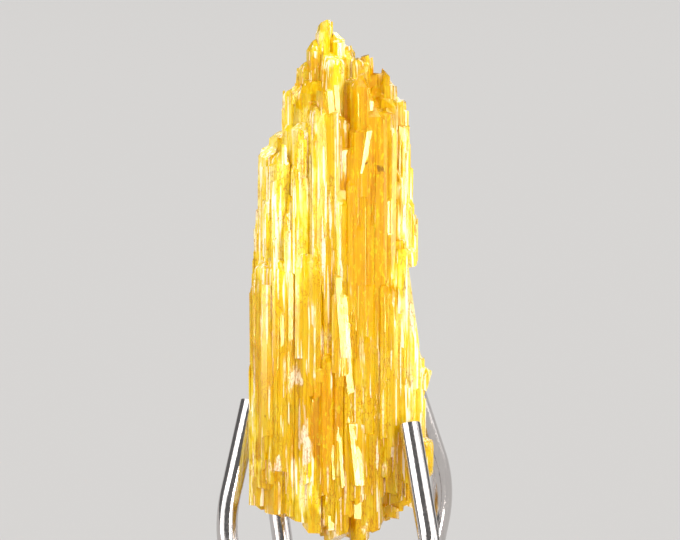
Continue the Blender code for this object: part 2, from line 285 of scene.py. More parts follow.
def new_tree(name, sockets):
    """A Geometry Nodes tree with its inputs, and its input and output nodes."""
    tree = bpy.data.node_groups.new(name, "GeometryNodeTree")
    tree.interface.new_socket("Geometry", in_out="OUTPUT", socket_type="NodeSocketGeometry")
    tree.interface.new_socket("Geometry", in_out="INPUT", socket_type="NodeSocketGeometry")
    for socket_name, kind in sockets:
        tree.interface.new_socket(socket_name, in_out="INPUT", socket_type="NodeSocket" + kind)
    return tree, add(tree, "NodeGroupInput"), add(tree, "NodeGroupOutput")


def material_tree(name):
    made = bpy.data.materials.new(name)
    made.use_nodes = True
    return made, made.node_tree, made.node_tree.nodes["Principled BSDF"]


# ---------------------------------------------------------------- the crystal


def unit_lath(pick, flat=0.5):
    """A six-sided lath, 1 across and 1 tall, with a broken foot and a chisel head.

    Its front and back are flat over the share of its width that flat gives.
    """
    bm = bmesh.new()
    prism = bmesh.ops.create_cone(bm, cap_ends=True, segments=6, radius1=EDGE, radius2=EDGE, depth=1.0,
                                  matrix=Matrix.Rotation(math.radians(30), 4, "Z"))
    rings = {0: [v for v in prism["verts"] if v.co.z < 0], 1: [v for v in prism["verts"] if v.co.z > 0]}
    top = next(f for f in rings[1][0].link_faces if all(v in rings[1] for v in f.verts))
    rings[2] = list(bmesh.ops.extrude_discrete_faces(bm, faces=[top])["faces"][0].verts)
    levels = {0: -LATH_END, 1: LATH_END - pick.uniform(*TIP_LENGTH), 2: LATH_END}
    shares = {0: 1.0, 1: 1.0, 2: pick.uniform(*TIP_SHARE)}
    slants = {level: [pick.uniform(-steepest, steepest) for steepest in END_SLANT] for level in rings}
    for level, ring in rings.items():
        for vertex in ring:
            at_edge = abs(vertex.co.x) > 0.5 * (FLAT_HALF + EDGE)
            across = vertex.co.x * shares[level] * (1.0 if at_edge else 2 * flat)
            depth = vertex.co.y * shares[level]
            height = levels[level] + across * slants[level][0] + depth * slants[level][1]
            vertex.co = (across, depth, height)
    mesh = bpy.data.meshes.new("unit_lath")
    bm.to_mesh(mesh)
    bm.free()
    return mesh


def lath_layer(tree, body, guard, shapes, sizes, seed):
    """Nodes that set laths upright on the body's sides. Returns the node with their instances."""
    new = partial(add, tree)
    number = itertools.count(seed)

    way_up = new("ShaderNodeSeparateXYZ", new("GeometryNodeInputNormal")).outputs["Z"]
    upright = new("ShaderNodeMath", new("ShaderNodeMath", way_up, operation="ABSOLUTE"), STEEPEST_NORMAL,
                  operation="LESS_THAN")
    scattered = new("GeometryNodeDistributePointsOnFaces", body, upright, sizes["Density"], seed)
    seats = new("GeometryNodeStoreNamedAttribute", scattered, True, "seat", new("GeometryNodeInputPosition"),
                data_type="FLOAT_VECTOR")
    way = new("ShaderNodeVectorMath", scattered.outputs["Normal"], (1.0, 1.0, 0.0), operation="MULTIPLY")
    way = new("ShaderNodeVectorMath", way, operation="NORMALIZE")
    place = new("GeometryNodeInputNamedAttribute", "seat", data_type="FLOAT_VECTOR")

    # How far the body goes on above and below each lath, from just under its skin
    inside = new("ShaderNodeVectorMath", way, (-SKIN, -SKIN, -SKIN), place, operation="MULTIPLY_ADD")
    reaches = []
    for direction in (1.0, -1.0):
        ray = new("GeometryNodeRaycast", body, inputs={
            "Source Position": inside, "Ray Direction": (0.0, 0.0, direction), "Ray Length": RAY_REACH})
        hit = new("ShaderNodeMath", ray.outputs["Hit Distance"], ray.outputs["Is Hit"],
                  operation="MULTIPLY")
        short = new("FunctionNodeRandomValue", LEAST_SHORTFALL, sizes["Shortfall"], 0, next(number),
                    data_type="FLOAT")
        reaches.append(new("ShaderNodeMath", hit, short, operation="SUBTRACT"))

    width = new("FunctionNodeRandomValue", sizes["Width Min"], sizes["Width Max"], 0, next(number),
                data_type="FLOAT")
    length = new("FunctionNodeRandomValue", sizes["Length Min"], sizes["Length Max"], 0, next(number),
                 data_type="FLOAT")
    share = new("FunctionNodeRandomValue", 0.0, 1.0, 0, next(number), data_type="FLOAT")
    above = new("ShaderNodeMath", length, share, operation="MULTIPLY")
    below = new("ShaderNodeMath", length, above, operation="SUBTRACT")
    level = new("ShaderNodeSeparateXYZ", place).outputs["Z"]
    above = new("ShaderNodeMath", above, reaches[0], operation="MINIMUM")
    below = new("ShaderNodeMath", below, reaches[1], operation="MINIMUM")
    head = new("ShaderNodeMath", level, above, operation="ADD")
    head = new("ShaderNodeMath", head, CRYSTAL_HEAD - END_SPARE, operation="MINIMUM")
    foot = new("ShaderNodeMath", level, below, operation="SUBTRACT")
    foot = new("ShaderNodeMath", foot, CRYSTAL_FOOT + END_SPARE, operation="MAXIMUM")
    tall = new("ShaderNodeMath", head, foot, operation="SUBTRACT")

    # How far a turned lath reaches from its middle towards the surface, by an edge or by a flat's corner
    turn = new("FunctionNodeRandomValue", sizes["Turn Min"], sizes["Turn Max"], 0, next(number),
               data_type="FLOAT")
    thickness = new("ShaderNodeMath", width, sizes["Thickness"], operation="MULTIPLY")
    back_turn = new("ShaderNodeMath", turn, -1.0, operation="MULTIPLY")
    local = new("ShaderNodeVectorRotate", way, inputs={"Angle": back_turn}, rotation_type="Z_AXIS")
    local = new("ShaderNodeSeparateXYZ", new("ShaderNodeVectorMath", local, operation="ABSOLUTE"))
    sideways = new("ShaderNodeMath", local.outputs["X"], width, operation="MULTIPLY")
    outwards = new("ShaderNodeMath", local.outputs["Y"], thickness, operation="MULTIPLY")
    by_edge = new("ShaderNodeMath", sideways, EDGE, operation="MULTIPLY")
    by_flat = new("ShaderNodeMath", sideways, FLAT_HALF, operation="MULTIPLY")
    by_flat = new("ShaderNodeMath", outwards, FLAT, by_flat, operation="MULTIPLY_ADD")
    reach = new("ShaderNodeMath", by_edge, by_flat, operation="MAXIMUM")
    proud = new("FunctionNodeRandomValue", 0.0, sizes["Proud"], 0, next(number), data_type="FLOAT")
    step = new("ShaderNodeMath", proud, reach, operation="SUBTRACT")
    step = new("ShaderNodeVectorMath", way, operation="SCALE", inputs={"Scale": step})
    middle = new("ShaderNodeSeparateXYZ", new("ShaderNodeVectorMath", place, step, operation="ADD"))
    x, y = middle.outputs["X"], middle.outputs["Y"]
    half = new("ShaderNodeMath", tall, 0.5, foot, operation="MULTIPLY_ADD")

    # Laths too near to a prong, and those too short to see, are left out
    nearest = FAR
    for share in PRONG_CHECKS:
        height = new("ShaderNodeMath", tall, share, foot, operation="MULTIPLY_ADD")
        spot = new("ShaderNodeCombineXYZ", x, y, height)
        near = new("GeometryNodeProximity", guard, inputs={"Sample Position": spot})
        nearest = new("ShaderNodeMath", near.outputs["Distance"], nearest, operation="MINIMUM")
    room = new("ShaderNodeMath", width, 0.5, PRONG_ROOM, operation="MULTIPLY_ADD")
    clear = new("ShaderNodeMath", nearest, room, operation="GREATER_THAN")
    long_enough = new("ShaderNodeMath", tall, SHORTEST_LATH, operation="GREATER_THAN")
    good = new("FunctionNodeBooleanMath", clear, long_enough, operation="AND")

    tilts = [new("FunctionNodeRandomValue", -LATH_TILT, LATH_TILT, 0, next(number), data_type="FLOAT")
             for _ in range(2)]
    centre = new("ShaderNodeCombineXYZ", x, y, half)
    placed = new("GeometryNodeSetPosition", seats, good, centre)
    return new("GeometryNodeInstanceOnPoints", placed, good, shapes, True, inputs={
        "Rotation": new("ShaderNodeCombineXYZ", *tilts, turn),
        "Scale": new("ShaderNodeCombineXYZ", width, thickness, tall)})


def keep_main_shell(mesh):
    """Removes the slivers and small hollows that laths close off between them."""
    bm = bmesh.new()
    bm.from_mesh(mesh)
    left = set(bm.verts)
    shells = []
    while left:
        shell, front = set(), {left.pop()}
        while front:
            shell |= front
            front = {edge.other_vert(vertex) for vertex in front for edge in vertex.link_edges} - shell
        left -= shell
        shells.append(shell)
    main_shell = max(shells, key=len)
    loose = [vertex for vertex in bm.verts if vertex not in main_shell]
    bmesh.ops.delete(bm, geom=loose, context="VERTS")
    bm.to_mesh(mesh)
    bm.free()


LAYERS = ("Lath", "Stria")
LAYER_SIZES = ("Density", "Width Min", "Width Max", "Thickness", "Length Min", "Length Max", "Proud",
               "Shortfall", "Turn Min", "Turn Max")


def growth_tree():
    """Laths and striae grown on the crystal's solid and joined with it in one skin."""
    names = [(f"{layer} {size}", "Float") for layer in LAYERS for size in LAYER_SIZES]
    names += [("Prongs", "Object"), ("Lath Shapes", "Collection"), ("Bright Laths", "Collection"),
              ("Notches", "Collection"), ("Material", "Material")]
    tree, group, end = new_tree("crystal_growth", names)
    body = group.outputs["Geometry"]
    guard = add(tree, "GeometryNodeObjectInfo", group.outputs["Prongs"]).outputs["Geometry"]
    shapes = add(tree, "GeometryNodeCollectionInfo", group.outputs["Lath Shapes"], True)
    bright = add(tree, "GeometryNodeCollectionInfo", group.outputs["Bright Laths"], True)
    parts = [body, bright]
    for number, layer in enumerate(LAYERS):
        sizes = {size: group.outputs[f"{layer} {size}"] for size in LAYER_SIZES}
        parts.append(lath_layer(tree, body, guard, shapes, sizes, LATH_SEED + LAYER_SEEDS * number))
    joined = add(tree, "GeometryNodeMeshBoolean", inputs={1: parts}, operation="UNION", solver="MANIFOLD")
    cutters = add(tree, "GeometryNodeCollectionInfo", group.outputs["Notches"], True)
    notched = add(tree, "GeometryNodeMeshBoolean", joined, cutters, operation="DIFFERENCE",
                  solver="MANIFOLD")
    real = add(tree, "GeometryNodeRealizeInstances", notched)
    done = add(tree, "GeometryNodeSetMaterial", real, inputs={"Material": group.outputs["Material"]})
    tree.links.new(done.outputs[0], end.inputs[0])
    return tree


def legrandite_patterns(tree):
    """The patterns that the legrandite's colour and surface share, by name."""
    new = partial(add, tree)
    here = new("ShaderNodeTexCoord").outputs["Object"]

    def pattern(kind, across, tall, offset=0.0, **inputs):
        """A pattern across mm wide and tall mm high."""
        scale = (1 / (across * MM), 1 / (across * MM), 1 / (tall * MM))
        size = new("ShaderNodeMapping", here, (offset, offset, offset), (0.0, 0.0, 0.0), scale)
        return new(kind, size, inputs={"Scale": 1.0, **inputs})

    wander = pattern("ShaderNodeTexNoise", 0.5, 1.1, 4.4, Detail=2.0).outputs["Color"]
    wander = new("ShaderNodeVectorMath", wander, (0.5, 0.5, 0.5), operation="SUBTRACT")

    def zones(ovals, drift, soft):
        """1 inside ovals given in mm and 0 outside them, with borders that drift by mm and fade."""
        where = new("ShaderNodeVectorMath", wander, (drift * MM, 0.0, 2 * drift * MM), here,
                    operation="MULTIPLY_ADD")
        inside = []
        for x, z, half_x, half_z in ovals:
            local = new("ShaderNodeMapping", where, (-x / half_x, 0.0, -z / half_z), (0.0, 0.0, 0.0),
                        (1 / (half_x * MM), 0.0, 1 / (half_z * MM)))
            far = new("ShaderNodeVectorMath", local, operation="LENGTH")
            inside.append(new("ShaderNodeMapRange", far, 1.0 + soft, 1.0 - soft,
                              interpolation_type="SMOOTHSTEP"))
        return reduce(lambda one, other: new("ShaderNodeMath", one, other, operation="MAXIMUM"), inside)

    laths = pattern("ShaderNodeTexVoronoi", 0.16, 2.2)
    streaks = pattern("ShaderNodeTexVoronoi", 0.075, 1.7, 5.1)
    return SimpleNamespace(
        fine=pattern("ShaderNodeTexNoise", 0.07, 2.6, Detail=3.0, Roughness=0.6),
        patch=pattern("ShaderNodeTexNoise", 1.0, 2.4, 3.7, Detail=3.0, Roughness=0.6),
        grain=pattern("ShaderNodeTexNoise", 0.10, 0.16, 1.3, Detail=2.0),
        blotch=pattern("ShaderNodeTexNoise", 0.20, 0.55, 9.4, Detail=4.0, Roughness=0.65, Distortion=0.4),
        chips=pattern("ShaderNodeTexNoise", 0.14, 0.34, 2.9, Detail=2.0, Roughness=0.6),
        cloud=pattern("ShaderNodeTexNoise", 0.7, 1.3, 8.2, Detail=3.0),
        lath_tone=new("ShaderNodeSeparateColor", laths.outputs["Color"]),
        streak_tone=new("ShaderNodeSeparateColor", streaks.outputs["Color"]),
        deep=zones(DEEP_ZONES, 1.6, 0.2),
        pale=zones(PALE_ZONES, 1.6, 0.4),
        frosted=zones(FROST_ZONES, 1.2, 0.6),
        dark=zones(DARK_ZONES, 0.6, 0.5))


def legrandite_colour(tree, seen):
    """The legrandite's colour, and the mask where painted glints and real frost whiten it. seen holds its
    patterns.
    """
    new = partial(add, tree)

    # Its tone, from deep gold to pale lemon
    tone = new("ShaderNodeMath", seen.lath_tone, 0.24, -0.23, operation="MULTIPLY_ADD")
    for layer, share in ((seen.fine, 0.40), (seen.patch, 0.45), (seen.blotch, 0.60), (seen.pale, 0.17),
                         (seen.deep, -0.26)):
        tone = new("ShaderNodeMath", layer, share, tone, operation="MULTIPLY_ADD")
    colour = new("ShaderNodeValToRGB", tone)
    ramp = colour.color_ramp
    ramp.elements[0].position, ramp.elements[0].color = 0.16, linear("#F2B000")
    ramp.elements[1].position, ramp.elements[1].color = 0.98, linear("#FFF6B2")
    for position, code in ((0.30, "#FFC100"), (0.46, "#FFCF00"), (0.62, "#FFDA04"), (0.78, "#FFE832")):
        ramp.elements.new(position).color = linear(code)

    # Lemon flecks all over, and painted sparkle: clusters of bright lemon flecks that stand in for glints in
    # the deep gold
    fleck = new("ShaderNodeMapRange", seen.blotch, 0.57, 0.66, 0.0, 0.65)
    colour = new("ShaderNodeMix", fleck, colour, linear("#FFE92A"), data_type="RGBA")
    painted_sparkle = new("ShaderNodeMath", seen.cloud, 0.35, seen.chips, operation="MULTIPLY_ADD")
    painted_sparkle = new("ShaderNodeMapRange", painted_sparkle, 0.75, 0.82, 0.0, 0.9)
    painted_sparkle = new("ShaderNodeMath", painted_sparkle, seen.deep, operation="MULTIPLY")
    colour = new("ShaderNodeMix", painted_sparkle, colour, linear("#FFF21E"), data_type="RGBA")

    # Painted highlights: pale cream streaks that stand in for light glinting off the striae, joined with the
    # real frost; the deep gold is all but free of both
    shallow = new("ShaderNodeMath", seen.deep, -0.95, 1.0, operation="MULTIPLY_ADD")
    painted_glint = new("ShaderNodeMath", seen.patch, 0.45, seen.streak_tone, operation="MULTIPLY_ADD")
    painted_glint = new("ShaderNodeMath", seen.pale, 0.10, painted_glint, operation="MULTIPLY_ADD")
    painted_glint = new("ShaderNodeMapRange", painted_glint, 1.08, 1.16, interpolation_type="SMOOTHSTEP")
    frost = new("ShaderNodeMath", seen.blotch, 0.5, seen.cloud, operation="MULTIPLY_ADD")
    frost = new("ShaderNodeMath", seen.frosted, 0.25, frost, operation="MULTIPLY_ADD")
    frost = new("ShaderNodeMapRange", frost, 0.93, 1.08, interpolation_type="SMOOTHSTEP")
    painted_glint_and_frost = new("ShaderNodeMath", painted_glint, frost, operation="MAXIMUM")
    painted_glint_and_frost = new("ShaderNodeMath", painted_glint_and_frost, shallow, operation="MULTIPLY")
    # The painted glint streaks and the real frost turn the colour cream
    glint_and_frost_share = new("ShaderNodeMath", painted_glint_and_frost, 0.8, operation="MULTIPLY")
    colour = new("ShaderNodeMix", glint_and_frost_share, colour, linear("#FFF4E6"), data_type="RGBA")

    # Brown stains, and orange cracks round the chips in places
    stain = new("ShaderNodeMath", seen.grain, 0.6, seen.dark, operation="MULTIPLY_ADD")
    stain = new("ShaderNodeMapRange", stain, 1.15, 1.35, 0.0, 0.85)
    colour = new("ShaderNodeMix", stain, colour, linear("#8A5A10"), data_type="RGBA")
    crack = new("ShaderNodeMath", seen.chips, 0.5, operation="SUBTRACT")
    crack = new("ShaderNodeMath", crack, operation="ABSOLUTE")
    crack = new("ShaderNodeMapRange", crack, 0.0, 0.04, 0.85, 0.0)
    cracked = new("ShaderNodeMapRange", seen.cloud, 0.42, 0.58)
    for place in (cracked, shallow):
        crack = new("ShaderNodeMath", crack, place, operation="MULTIPLY")
    return new("ShaderNodeMix", crack, colour, linear("#C47600"), data_type="RGBA"), painted_glint_and_frost


def legrandite_material(settings):
    """Legrandite as it grew: a glassy skin over a clouded depth, lemon where thin and orange where thick.

    Fine striae run up its faces. The glints they throw are painted into its colour as pale streaks, and the
    bruised, frosted spots are pale cream in their own right.
    """
    made, tree, shader = material_tree("legrandite_as_grown")
    new = partial(add, tree)
    seen = legrandite_patterns(tree)
    colour, painted_glint_and_frost = legrandite_colour(tree, seen)

    # Glossy and clear where it is sound, duller and clouded where it is pale, frosted or painted with glint
    # streaks
    rough = new("ShaderNodeMath", seen.grain, 0.10, 0.06, operation="MULTIPLY_ADD")
    rough = new("ShaderNodeMath", painted_glint_and_frost, 0.25, rough, operation="MULTIPLY_ADD")
    clear = new("ShaderNodeMapRange", seen.fine, 0.3, 0.7, 0.64, 0.50)
    clear = new("ShaderNodeMath", seen.pale, -0.32, clear, operation="MULTIPLY_ADD")
    clear = new("ShaderNodeMath", painted_glint_and_frost, -0.35, clear, operation="MULTIPLY_ADD")
    ripple = new("ShaderNodeMath", seen.grain, 0.12, seen.fine, operation="MULTIPLY_ADD")
    calm = new("ShaderNodeMath", seen.deep, -0.7, 1.0, operation="MULTIPLY_ADD")
    ripple = new("ShaderNodeMath", ripple, calm, operation="MULTIPLY")
    relief = new("ShaderNodeBump", 0.3, 0.03 * MM, inputs={"Height": ripple})
    for name, node in (("Base Color", colour), ("Roughness", rough), ("Transmission Weight", clear),
                       ("Normal", relief)):
        tree.links.new(next(output for output in node.outputs if output.enabled), shader.inputs[name])
    shader.inputs["IOR"].default_value = LEGRANDITE_IOR
    shader.inputs["Specular Tint"].default_value = linear(SKIN_TINT)
    absorption = new("ShaderNodeVolumeAbsorption", (*settings.depth_colour, 1.0), settings.depth_density)
    tree.links.new(absorption.outputs[0], tree.nodes["Material Output"].inputs["Volume"])
    return made


class CrystalSettings(bpy.types.PropertyGroup):
    """Sizes of the crystal's laths and striae, in metres, and the colour of its depth."""

    lath_count: IntProperty(name="Laths", description="Laths tried over the crystal", default=300, min=0)
    lath_width: FloatVectorProperty(name="Lath Width", description="Narrowest and widest lath",
                                    default=(0.30 * MM, 0.80 * MM), size=2, unit="LENGTH")
    lath_length: FloatVectorProperty(name="Lath Length", description="Shortest and longest lath",
                                     default=(2.5 * MM, 9.0 * MM), size=2, unit="LENGTH")
    lath_thickness: FloatProperty(name="Lath Thickness", description="Share of a lath's width", default=0.5)
    lath_proud: FloatProperty(name="Lath Height", description="How far a lath stands out at most",
                              default=0.05 * MM, unit="LENGTH")
    stria_count: IntProperty(name="Striae", description="Fine striae tried over the crystal",
                             default=2200, min=0)
    stria_width: FloatVectorProperty(name="Stria Width", description="Narrowest and widest stria",
                                     default=(0.06 * MM, 0.16 * MM), size=2, unit="LENGTH")
    stria_length: FloatVectorProperty(name="Stria Length", description="Shortest and longest stria",
                                      default=(1.2 * MM, 6.0 * MM), size=2, unit="LENGTH")
    stria_thickness: FloatProperty(name="Stria Thickness", description="Share of a stria's width",
                                   default=0.9)
    stria_proud: FloatProperty(name="Stria Height", description="How far a stria stands out at most",
                               default=0.03 * MM, unit="LENGTH")
    shortfall: FloatProperty(name="Shortfall", default=0.5 * MM, unit="LENGTH",
                             description="How far laths stop short of the crystal's broken ends at most")
    turn: FloatProperty(name="Turn", default=math.radians(2), subtype="ANGLE", unit="ROTATION",
                        description="Angle of the laths' flat faces about the crystal's length")
    turn_spread: FloatProperty(name="Turn Spread", description="How far a lath's turn differs at most",
                               default=math.radians(11), subtype="ANGLE", unit="ROTATION")
    depth_colour: FloatVectorProperty(name="Depth Colour", default=linear("#FFEC40")[:3], size=3,
                                      subtype="COLOR", min=0.0, max=1.0,
                                      description="Colour that the crystal's depth lets through")
    depth_density: FloatProperty(name="Depth Density", default=360.0, min=0.0,
                                 description="Strength of the depth's colour per metre")


def bright_lath(pick, skin, across, width, foot, head, proud, lean, back):
    """A lath on the crystal's front, turned to catch the light. Its sizes are in mm and degrees."""
    middle = Vector((across, BRIGHT_START, 0.5 * (foot + head))) * MM
    depths = []
    for share in BRIGHT_CHECKS:
        start = middle + Vector((0.0, 0.0, share * (head - foot) * MM))
        hit = skin.ray_cast(start, Vector((0.0, 1.0, 0.0)))[0]
        if hit is None:
            raise RuntimeError(f"the bright lath at {across} mm across and {foot} mm up misses the crystal")
        depths.append(hit.y)
    middle.y = statistics.median(depths) + (FLAT * width - proud) * MM
    mesh = unit_lath(pick, BRIGHT_FLAT)
    mesh.transform(Matrix.Translation(middle)
                   @ Matrix.Rotation(math.radians(-back), 4, "X")
                   @ Matrix.Rotation(math.radians(lean), 4, "Y")
                   @ Matrix.Rotation(math.radians(pick.uniform(*BRIGHT_TURN)), 4, "Z")
                   @ Matrix.Diagonal((width * MM, width * MM, (head - foot) * MM, 1.0)))
    return mesh


def notch(outline):
    """A closed prism that runs through the crystal from front to back. Its outline is in mm."""
    count = len(outline)
    corners = [Vector((x, y, z)) * MM for y in (-NOTCH_REACH, NOTCH_REACH) for x, z in outline]
    sides = [(i, (i + 1) % count, count + (i + 1) % count, count + i) for i in range(count)]
    ends = [tuple(reversed(range(count))), tuple(range(count, 2 * count))]
    mesh = bpy.data.meshes.new("notch")
    mesh.from_pydata(corners, [], [*ends, *sides])
    return mesh


def prong_guard():
    """One mesh of all the CAD prongs, which the laths keep clear of."""
    wires = bmesh.new()
    for name in PRONGS:
        wires.from_mesh(frame["nodes"][name].data)
    mesh = bpy.data.meshes.new("guard")
    wires.to_mesh(mesh)
    wires.free()
    return mesh


def shelf(name, meshes):
    """A collection with one loose object for each mesh."""
    collection = bpy.data.collections.new(name + "_shelf")
    for number, mesh in enumerate(meshes):
        collection.objects.link(bpy.data.objects.new(f"{name}_{number}", mesh))
    return collection


def layer_values(settings, area):
    """What the growth tree's sizes are set to, for a crystal with a skin of this area."""
    values = {}
    for layer in LAYERS:
        kind = layer.lower()
        for name in ("width", "length"):
            low, high = getattr(settings, f"{kind}_{name}")
            values[f"{layer} {name.title()} Min"] = low
            values[f"{layer} {name.title()} Max"] = high
        values[f"{layer} Density"] = getattr(settings, kind + "_count") / area
        values[f"{layer} Thickness"] = getattr(settings, kind + "_thickness")
        values[f"{layer} Proud"] = getattr(settings, kind + "_proud")
        values[f"{layer} Shortfall"] = settings.shortfall
        values[f"{layer} Turn Min"] = settings.turn - settings.turn_spread
        values[f"{layer} Turn Max"] = settings.turn + settings.turn_spread
    return values


class SPECIMEN_OT_grow_crystal(bpy.types.Operator):
    """Grows laths and striae on the crystal's solid and gives it its finish"""

    bl_idname = "specimen.grow_crystal"
    bl_label = "Grow Crystal"

    def execute(self, context):
        settings = context.scene.specimen_crystal
        solid = frame["nodes"]["crystal"].data
        skin = BVHTree.FromPolygons([v.co for v in solid.vertices], [p.vertices for p in solid.polygons])
        pick = random.Random(LATH_SEED)
        shelves = {
            "Lath Shapes": shelf("lath_shape", [unit_lath(pick) for _ in range(LATH_SHAPES)]),
            "Bright Laths": shelf("bright_lath", [bright_lath(pick, skin, *row) for row in BRIGHT_LATHS]),
            "Notches": shelf("notch", [notch(outline) for outline in NOTCHES]),
        }
        guard = bpy.data.objects.new("guard", prong_guard())
        seedling = new_object("seedling", merged_copy("crystal"))
        area = sum(polygon.area for polygon in solid.polygons)
        nodes_modifier(seedling, growth_tree(), {
            **layer_values(settings, area), **shelves, "Prongs": guard,
            "Material": legrandite_material(settings)})
        crystal = baked(seedling, "legrandite_crystal")
        keep_main_shell(crystal.data)
        bpy.data.objects.remove(guard)
        for collection in shelves.values():
            for obj in list(collection.objects):
                bpy.data.objects.remove(obj)
            bpy.data.collections.remove(collection)
        if len(crystal.data.polygons) <= len(solid.polygons):
            raise RuntimeError("the laths didn't join the crystal")
        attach(crystal, BODY)
        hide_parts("crystal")
        return {"FINISHED"}


# ---------------------------------------------------------------- the wire prongs


def bent_path(tip, bend, root):
    """Points in metres from the cut tip to the root, with the corner turned into an arc."""
    tip, bend, root = (Vector(point) * MM for point in (tip, bend, root))
    start = bend + (tip - bend).normalized() * BEND_REACH * MM
    end = bend + (root - bend).normalized() * BEND_REACH * MM
    points = [tip, tip + (start - tip).normalized() * CUT_EDGE * MM]
    for step in range(BEND_STEPS):
        t = step / (BEND_STEPS - 1)
        points.append(start * (1 - t) ** 2 + bend * 2 * t * (1 - t) + end * t ** 2)
    return points + [root]


def wire_tree():
    """A round wire along a path of edges. The path's thickness attribute narrows it at its cut."""
    sockets = [("Diameter", "Float"), ("Sides", "Int"), ("Material", "Material")]
    tree, group, end = new_tree("bent_wire", sockets)
    new = partial(add, tree)
    path = new("GeometryNodeMeshToCurve", group.outputs["Geometry"])
    share = new("GeometryNodeInputNamedAttribute", "thickness", data_type="FLOAT")
    shaped = new("GeometryNodeSetCurveRadius", path, inputs={"Radius": share})
    half = new("ShaderNodeMath", group.outputs["Diameter"], 0.5, operation="MULTIPLY")
    ring = new("GeometryNodeCurvePrimitiveCircle", inputs={
        "Resolution": group.outputs["Sides"], "Radius": half})
    skin = new("GeometryNodeCurveToMesh", shaped, ring, inputs={"Scale": share, "Fill Caps": True})
    real = new("GeometryNodeRealizeInstances", skin)
    done = new("GeometryNodeSetMaterial", real, inputs={"Material": group.outputs["Material"]})
    tree.links.new(done.outputs[0], end.inputs[0])
    return tree


def steel_wire_material():
    """Drawn steel wire, polished bright: a hard mirror with faint lines along it and small pits."""
    made, tree, shader = material_tree("drawn_steel_wire")
    new = partial(add, tree)
    here = new("ShaderNodeTexCoord").outputs["Object"]
    lengthwise = new("ShaderNodeMapping", here, inputs={
        "Scale": (1 / (0.05 * MM), 1 / (0.05 * MM), 1 / (2.5 * MM))})
    drawn = new("ShaderNodeTexNoise", lengthwise, 1.0, 3.0)
    pits = new("ShaderNodeTexNoise", here, 1 / (0.09 * MM), 2.0)
    rough = new("ShaderNodeMapRange", pits, 0.4, 0.7, 0.06, 0.22)
    tint = new("ShaderNodeMix", drawn, linear("#BEB9B8"), linear("#DEDAD8"), data_type="RGBA")
    relief = new("ShaderNodeBump", 0.25, 0.01 * MM, inputs={"Height": drawn})
    tree.links.new(tint.outputs[2], shader.inputs["Base Color"])
    tree.links.new(rough.outputs[0], shader.inputs["Roughness"])
    tree.links.new(relief.outputs[0], shader.inputs["Normal"])
    shader.inputs["Metallic"].default_value = 1.0
    return made


class HolderSettings(bpy.types.PropertyGroup):
    """Sizes of the wire holder, in metres."""

    wire_diameter: FloatProperty(name="Wire Diameter", description="Diameter of the prongs' wire",
                                 default=WIRE_DIAMETER * MM, unit="LENGTH")
    wire_sides: IntProperty(name="Wire Sides", description="Facets round the wire", default=40, min=8)
    base_radius: FloatProperty(name="Base Radius", description="Radius of the turned base",
                               default=BASE_RADIUS * MM, unit="LENGTH")
    base_steps: IntProperty(name="Base Steps", description="Facets round the turned base",
                            default=144, min=16)


class SPECIMEN_OT_bend_prongs(bpy.types.Operator):
    """Bends the four wire prongs and gives them their polish"""

    bl_idname = "specimen.bend_prongs"
    bl_label = "Bend Prongs"

    def execute(self, context):
        settings = context.scene.specimen_holder
        tree = wire_tree()
        material = steel_wire_material()
        values = {"Diameter": settings.wire_diameter, "Sides": settings.wire_sides, "Material": material}
        for name, (tip, bend, root) in PRONGS.items():
            points = bent_path(tip, bend, root)
            mesh = bpy.data.meshes.new(name + "_path")
            mesh.from_pydata(points, [(i, i + 1) for i in range(len(points) - 1)], [])
            thickness = mesh.attributes.new("thickness", "FLOAT", "POINT")
            thickness.data.foreach_set("value", [CUT_SHARE] + [1.0] * (len(points) - 1))
            path = new_object(name + "_path", mesh)
            nodes_modifier(path, tree, values)
            wire = baked(path, name + "_wire")
            wire.data.shade_smooth()
            wire.data.set_sharp_from_angle(angle=WIRE_CREASE)
            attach(wire, BODY)
            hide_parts(name)
        return {"FINISHED"}


# ---------------------------------------------------------------- the turned base


def base_profile(radius):
    """Radius and height of the turned base from the top's centre round to the underside's."""
    corner = BOSS_RADIUS + COVE
    points = [(0.0, BOSS_TOP), (BOSS_RADIUS - CHAMFER, BOSS_TOP), (BOSS_RADIUS, BOSS_TOP - CHAMFER)]
    for step in range(COVE_STEPS + 1):
        angle = math.radians(90) * step / COVE_STEPS
        points.append((corner - COVE * math.cos(angle), BASE_HEIGHT + COVE * (1 - math.sin(angle))))
    points += [(radius - CHAMFER, BASE_HEIGHT), (radius, BASE_HEIGHT - CHAMFER)]
    points += [(radius, CHAMFER), (radius - CHAMFER, 0.0), (0.0, 0.0)]
    return points


def satin_steel_material():
    """Steel turned on a lathe and left satin: soft light with fine rings round the middle."""
    made, tree, shader = material_tree("turned_satin_steel")
    new = partial(add, tree)
    here = new("ShaderNodeTexCoord").outputs["Object"]
    rings = new("ShaderNodeTexWave", here, math.tau / 20 / (TURNING_MARKS * MM), 0.3, wave_type="RINGS",
                rings_direction="Z")
    specks = new("ShaderNodeTexNoise", here, 1 / (0.3 * MM), 3.0)
    rough = new("ShaderNodeMapRange", specks, 0.3, 0.7, 0.28, 0.36)
    tint = new("ShaderNodeMix", specks, linear("#B4B4B6"), linear("#C4C4C6"), data_type="RGBA")
    relief = new("ShaderNodeBump", 0.2, 0.01 * MM, inputs={"Height": rings.outputs[1]})
    tree.links.new(tint.outputs[2], shader.inputs["Base Color"])
    tree.links.new(rough.outputs[0], shader.inputs["Roughness"])
    tree.links.new(relief.outputs[0], shader.inputs["Normal"])
    shader.inputs["Metallic"].default_value = 1.0
    return made


